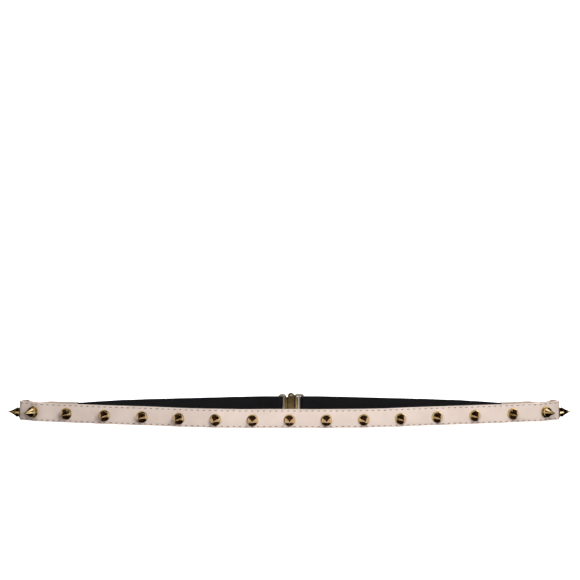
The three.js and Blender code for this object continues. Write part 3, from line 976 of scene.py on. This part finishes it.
class BELT_OT_elastic(bpy.types.Operator):
    """Make both elastics: corded bands that turn back round the clasp and are sewn down"""

    bl_idname = "belt.elastic"
    bl_label = "Elastic"

    def execute(self, context):
        for side, name in ((-1, "left"), (1, "right")):
            self.band(side, name)
        return {"FINISHED"}

    def band(self, side, name):
        size = sizes()
        width = mm(size.elastic_width)
        thickness = mm(size.elastic_thickness)
        route = elastic_route(side)
        band = outline(thickness, width, size.elastic_ribs * 8 - 1, 1, 0.3)
        swept(band, route.length, int(route.length / 0.6))
        points = points_of(band)
        ribs = size.elastic_ribs
        wave = 0.5 - 0.5 * np.cos(2 * np.pi * ribs * points[:, 2] / width)
        edge = smoothstep(np.minimum(points[:, 2], width - points[:, 2]), 0.0, 0.5)
        outer = np.where(points[:, 1] < thickness / 2, 1.0, -1.0)
        nose = route.along[np.argmin(side * route.x)]
        from_nose = points[:, 0] - nose
        stretched = 1 - np.exp(-(from_nose / 2.2) ** 2)
        points[:, 1] += outer * mm(size.rib_height) * (1 - wave) * edge * stretched - thickness / 2
        points[:, 2] += 0.05 * np.sin(points[:, 0] / 3.1) * (points[:, 2] / width - 0.5)
        bulge = 0.3 * np.exp(-(from_nose / 1.8) ** 2)
        points[:, 1] -= np.where(points[:, 1] < 0, bulge, 0.0)
        set_points(band, points)
        keep_flat_map(band)
        self.wrap(band, route, side)
        placed(band, f"elastic_{name}_knit", material_for("elastic"), "elastic", f"elastic_{name}",
               angle=60)
        self.sew(route, side, name)

    def rise(self, route, along):
        width = mm(sizes().elastic_width)
        low = (mm(sizes().strap_width) - width) / 2
        high = (CLASP_HEIGHT - width) / 2
        fold = route.length - TURN_BACK - math.pi * fold_radius()
        return low + (high - low) * smoothstep(along, POCKET_DEPTH, fold)

    def wrap(self, piece, route, side):
        lay_along(piece, route, lambda along: self.rise(route, along), side)

    def sew(self, route, side, name):
        """Two rows of black stitches through the turned end."""
        size = sizes()
        width = mm(size.elastic_width)
        thread = mm(size.thread) * 0.7
        stitches = []
        for back in (2.0, 3.4):
            for i in range(7):
                up = width * (i + 0.5) / 7
                place = (route.length - back, -mm(size.elastic_thickness) / 2, up)
                stitches.append(shaped("uv_sphere", (thread, thread, width / 9), place, segments=8,
                                       ring_count=5, radius=0.5))
        rows = joined(stitches)
        self.wrap(rows, route, side)
        placed(rows, f"elastic_{name}_sewing", material_for("elastic"), "elastic", angle=60)


class BELT_OT_studs(bpy.types.Operator):
    """Make the cone studs: each a domed flange, a short neck and a sharp polished cone"""

    bl_idname = "belt.studs"
    bl_label = "Cone Studs"

    def execute(self, context):
        model = turned(self.profile(), 64)
        for i, (place, axis, _, _) in enumerate(stud_seats(), 1):
            turn = axis.to_track_quat("Z", "Y").to_matrix().to_4x4()
            stud = copied(model, Matrix.Translation(place * MM) @ turn)
            placed(stud, f"cone_stud_{i:02d}", material_for("gold"), "spikes", f"spike_{i:02d}", angle=30)
        removed(model)
        return {"FINISHED"}

    def profile(self):
        """Radius and height of each turn of the stud, from the leather out to the tip."""
        size = sizes()
        flange = mm(size.flange) / 2
        neck = mm(size.neck) / 2 - 0.06
        tall = mm(size.stud_height)
        cone_foot = tall - CONE_HEIGHT
        shoulder, rim, rim_foot = 0.8, 0.22, 0.58
        tip = 0.22
        steps = 6
        rows = [(1.5, -1.0), (1.5, 0.02), (flange - 0.12, 0.02), (flange, 0.14), (flange, rim_foot)]
        for i in range(1, steps + 1):
            angle = math.pi / 2 * i / steps
            rows.append((flange - rim * (1 - math.cos(angle)), rim_foot + rim * math.sin(angle)))
        rows += [(neck + 0.12, shoulder + 0.05), (neck, shoulder + 0.12), (neck, cone_foot - 0.3)]
        foot = neck + CONE_OVERHANG
        rows += [(foot - 0.06, cone_foot - 0.12), (foot, cone_foot - 0.04), (foot, cone_foot + 0.04)]
        turns = 14
        for i in range(1, turns):
            share = i / turns
            straight = foot - (foot - tip) * share
            hollow = 4 * CONE_HOLLOW * share * (1 - share)
            rows.append((straight - hollow, cone_foot + 0.06 + (CONE_HEIGHT - 0.2) * share))
        rows += [(tip, tall - 0.14), (tip * 0.75, tall - 0.05), (tip * 0.35, tall)]
        return rows


class BELT_OT_screw_heads(bpy.types.Operator):
    """Make the slotted screw heads on the inner side of the strap"""

    bl_idname = "belt.screw_heads"
    bl_label = "Screw Heads"

    def execute(self, context):
        model = self.model()
        thickness = 2 * mm(sizes().leather_layer)
        for i, (place, axis, _, _) in enumerate(stud_seats(), 1):
            turn = (-axis).to_track_quat("Z", "Y").to_matrix().to_4x4()
            spin = Matrix.Rotation(math.radians(37 * i % 180), 4, "Z")
            seat = Matrix.Translation((place - axis * thickness) * MM)
            head = copied(model, seat @ turn @ spin)
            placed(head, f"screw_{i:02d}", material_for("gold"), "screws", f"screw_head_{i:02d}", angle=30)
        removed(model)
        return {"FINISHED"}

    def model(self):
        radius = mm(sizes().screw) / 2
        top = 1.25
        rows = [(radius - 0.08, 0.0), (radius, 0.08), (radius, top - 0.45), (radius - 0.06, top - 0.3),
                (radius - 0.22, top - 0.14), (radius - 0.55, top - 0.04), (radius - 1.1, top)]
        head = turned(rows, 48)
        cut_by(head, shaped("cube", (3 * radius, 0.7, 0.9), (0.0, 0.0, top), size=1.0))
        return head


class BELT_OT_clasp(bpy.types.Operator):
    """Make both halves of the clasp: rounded frames for the elastic, a ribbed hook and its catch bar"""

    bl_idname = "belt.clasp"
    bl_label = "Clasp"

    def execute(self, context):
        window = half_window()
        outer = window + CLASP_BAR + slot_width() + CLASP_BAR
        self.rails = (CLASP_RAIL, CLASP_HEIGHT - CLASP_RAIL)
        self.seat(self.hook_half(window, outer), "clasp_hook")
        self.seat(self.eye_half(window, outer), "clasp_eye")
        return {"FINISHED"}

    def seat(self, half, node_name):
        half.data.transform(Matrix.Translation(Vector((CLASP_SHIFT, loop_shift(), 0.0)) * MM))
        outward(half)
        placed(half, f"{node_name}_cast", material_for("brass"), "clasp", node_name, angle=30, even=True)

    def frame_ring(self, left, right, window):
        """A frame of rounded bars round one window."""
        front, back = LOOP_DEPTH - CLASP_PLATE / 2, LOOP_DEPTH + CLASP_PLATE / 2
        ring = slab((left, right), (0.0, CLASP_HEIGHT), (front, back), CLASP_CORNER, window)
        return rounded(ring, BAR_ROUND, 4)

    def hook_half(self, window, outer):
        """The left half: its tongue runs over the eye half's catch bar and turns back behind it."""
        front = LOOP_DEPTH - CLASP_PLATE / 2 - GAP - TONGUE_THICKNESS
        low, high = (CLASP_HEIGHT - TONGUE_HEIGHT) / 2, (CLASP_HEIGHT + TONGUE_HEIGHT) / 2
        left, right = -window, window - GAP / 3
        ring = self.frame_ring(-outer, left + CLASP_BAR,
                               (-outer + CLASP_BAR, left - CLASP_BAR, *self.rails))
        root = slab((left + 0.1, left + CLASP_BAR - 0.1), (low + 0.1, high - 0.1),
                    (front + 0.1, LOOP_DEPTH), 0.1)
        middle = (left + right) / 2 - HUMP_SHIFT
        hump = slab((middle - HUMP_WIDTH / 2, middle + HUMP_WIDTH / 2), (GAP, CLASP_HEIGHT + HUMP_RISE),
                    (front - HUMP_HEIGHT, front + TONGUE_THICKNESS - 0.05), 0.46 * HUMP_WIDTH)
        rounded(hump, 0.2, 3)
        parts = [self.tongue(left, right, low, high, front), root, hump, self.bead(middle, front)]
        for side in (-1, 1):
            x = middle + side * (HUMP_WIDTH / 2 + RIB_WIDTH)
            rib = slab((x - RIB_WIDTH / 2, x + RIB_WIDTH / 2), (low + RIB_WIDTH, high - RIB_WIDTH),
                       (front - RIB_HEIGHT, front + TONGUE_THICKNESS / 2), 0.45 * RIB_WIDTH)
            parts.append(rounded(rib, 0.25, 3))
        return united(ring, parts)

    def bead(self, middle, front):
        """The raised boss at the top of the tongue."""
        return shaped("uv_sphere", (1.25, 0.5, 0.8), (middle, front - HUMP_HEIGHT,
                                                      CLASP_HEIGHT - BEAD_DROP),
                      segments=24, ring_count=12, radius=1.0)

    def tongue(self, left, right, low, high, front):
        """A strip that runs right, turns round behind, and comes halfway back."""
        thick = TONGUE_THICKNESS
        near = front + thick / 2
        far = LOOP_DEPTH + CLASP_PLATE / 2 + GAP + thick / 2
        radius = (far - near) / 2
        turn = right - thick / 2 - radius
        strip = sheet((left, turn), (low, high), near)
        pick("EDGE", lambda middle: middle.x > (turn - 0.01) * MM)
        bpy.ops.mesh.spin(steps=12, angle=-math.pi, center=Vector((turn, near + radius, 0.0)) * MM,
                          axis=(0.0, 0.0, 1.0))
        pick("EDGE", lambda middle: middle.y > (far - 0.01) * MM)
        end = right - TONGUE_REACH / 2
        bpy.ops.mesh.extrude_region_move(
            TRANSFORM_OT_translate={"value": (min(end - turn, -0.5) * MM, 0.0, 0.0)})
        bpy.ops.object.mode_set(mode="OBJECT")
        outward(strip)
        modifier(strip, "SOLIDIFY", thickness=thick * MM, offset=0.0)
        return rounded(strip, 0.18, 3)

    def eye_half(self, window, outer):
        """The right half: a window for the elastic, one for the hook, and the catch bar between them."""
        catch = window - (TONGUE_THICKNESS + 3 * GAP)
        ring = self.frame_ring(catch - CLASP_BAR, outer, (catch, outer - CLASP_BAR, *self.rails))
        front, back = LOOP_DEPTH - CLASP_PLATE / 2, LOOP_DEPTH + CLASP_PLATE / 2
        bar = slab((window, window + CLASP_BAR), (CLASP_RAIL / 2, CLASP_HEIGHT - CLASP_RAIL / 2),
                   (front + 0.03, back - 0.03), 0.1)
        return united(ring, [rounded(bar, BAR_ROUND, 4)])


class BELT_OT_stage(bpy.types.Operator):
    """Set the pale floor, the soft lights and the camera"""

    bl_idname = "belt.stage"
    bl_label = "Stage"

    def execute(self, context):
        self.floor()
        self.lights(context)
        self.camera(context)
        return {"FINISHED"}

    def floor(self):
        """A floor that curves up behind into a plain wall."""
        floor = begin("plane", size=1.0)
        bpy.ops.object.mode_set(mode="EDIT")
        bpy.ops.mesh.select_all(action="SELECT")
        bpy.ops.transform.resize(value=(14.0, 8.0, 1.0))
        pick("EDGE", lambda middle: middle.y > 3.9)
        bpy.ops.mesh.extrude_region_move(TRANSFORM_OT_translate={"value": (0.0, 0.0, 6.0)})
        pick("EDGE", lambda middle: middle.y > 3.9 and abs(middle.z) < 0.01)
        bpy.ops.mesh.bevel(offset=1.5, segments=16)
        bpy.ops.object.mode_set(mode="OBJECT")
        bpy.ops.object.transform_apply(location=True, rotation=True, scale=True)
        bpy.ops.object.shade_smooth_by_angle(angle=math.radians(60))
        floor.name = floor.data.name = "floor"
        floor.data.materials.append(material_for("floor"))
        floor.visible_glossy = False
        floor.visible_diffuse = False

    def lights(self, context):
        """An even white room that metal doesn't mirror, a front light, and panels that it does mirror."""
        world = bpy.data.worlds.new("studio")
        world.use_nodes = True
        background = world.node_tree.nodes["Background"]
        set_inputs(world.node_tree, background, {"Color": grey(1.0), "Strength": 0.12})
        world.cycles_visibility.glossy = False
        context.scene.world = world
        lights = [
            # name, place, width, height, radiance, tint, lights the belt, seen in reflections
            ("front", (0.13, -0.68, 0.3), 0.5, 0.5, 7.5, 0xFFFFFF, True, False),
            ("top", (0.0, -0.5, 1.4), 1.4, 1.1, 1.5, 0xFFFFFF, True, True),
            ("back", (0.0, 0.9, 0.6), 0.9, 0.6, 4.5, 0xFFFFFF, True, False),
            ("front_panel", (0.89, -2.15, -0.1), 3.6, 1.6, 0.95, 0xFFFFFF, False, True),
            ("right_panel", (1.3, -0.6, -0.05), 1.5, 0.7, 1.8, 0xFFFFFF, False, True),
            ("left_panel", (-1.82, -1.4, -0.05), 1.9, 1.4, 0.8, 0xFFF0D8, False, True),
            ("left_glow", (-1.2, -0.1, -0.05), 1.2, 1.0, 0.22, 0xFFF0C0, False, True),
            ("back_glow", (0.0, 1.3, 1.6), 3.0, 1.8, 0.06, 0xE0A070, False, True),
            ("back_panel", (0.0, 2.3, -0.15), 2.6, 1.2, 0.6, 0xFFFFFF, False, True),
            ("low_glow", (0.0, 0.9, -1.2), 3.0, 1.8, 0.035, 0xE0A070, False, True),
        ]
        for name, place, width, height, radiance, tint, lights_belt, shiny in lights:
            data = bpy.data.lights.new(name, "AREA")
            data.shape = "RECTANGLE"
            data.size, data.size_y = width, height
            data.energy = radiance * math.pi * width * height
            data.color = hex_colour(tint)[:3]
            lamp = bpy.data.objects.new(name, data)
            context.scene.collection.objects.link(lamp)
            lamp.location = place
            lamp.rotation_euler = (-Vector(place)).to_track_quat("-Z", "Y").to_euler()
            lamp.visible_diffuse = lights_belt
            lamp.visible_glossy = shiny

    def camera(self, context):
        """The camera looks level along the belt's depth, a little from above, the belt low in its frame."""
        elevation = math.radians(6.5)
        distance = 2000 * MM
        target = Vector((0.34, 0.0, 91.85)) * MM
        data = bpy.data.cameras.new("camera")
        data.sensor_width = 36.0
        data.lens = 182.56
        camera = bpy.data.objects.new("camera", data)
        context.scene.collection.objects.link(camera)
        camera.location = target + distance * Vector((0.0, -math.cos(elevation), math.sin(elevation)))
        camera.rotation_euler = (math.pi / 2 - elevation, 0.0, 0.0)
        context.scene.camera = camera
        context.scene.view_settings.view_transform = "Standard"


class BELT_PT_panel(bpy.types.Panel):
    """Lists the belt's pieces and sizes"""

    bl_idname = "BELT_PT_panel"
    bl_label = "Studded Belt"
    bl_space_type = "VIEW_3D"
    bl_region_type = "UI"
    bl_category = "Belt"

    def draw(self, context):
        column = self.layout.column(align=True)
        for operator in OPERATORS:
            column.operator(operator.bl_idname)
        for group in (context.scene.belt_sizes, context.scene.belt_finish):
            box = self.layout.box()
            for name in group.__annotations__:
                box.prop(group, name)


OPERATORS = (BELT_OT_strap, BELT_OT_stitching, BELT_OT_elastic, BELT_OT_studs, BELT_OT_screw_heads,
             BELT_OT_clasp, BELT_OT_stage)
CLASSES = (BeltSizes, BeltFinish, *OPERATORS, BELT_PT_panel)


def register():
    for cls in CLASSES:
        bpy.utils.register_class(cls)
    bpy.types.Scene.belt_sizes = PointerProperty(type=BeltSizes)
    bpy.types.Scene.belt_finish = PointerProperty(type=BeltFinish)


def unregister():
    del bpy.types.Scene.belt_finish
    del bpy.types.Scene.belt_sizes
    for cls in reversed(CLASSES):
        bpy.utils.unregister_class(cls)


def main():
    register()
    bpy.ops.belt.strap()
    bpy.ops.belt.stitching()
    bpy.ops.belt.elastic()
    bpy.ops.belt.studs()
    bpy.ops.belt.screw_heads()
    bpy.ops.belt.clasp()
    bpy.ops.belt.stage()
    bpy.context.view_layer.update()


if __name__ == "__main__":
    main()
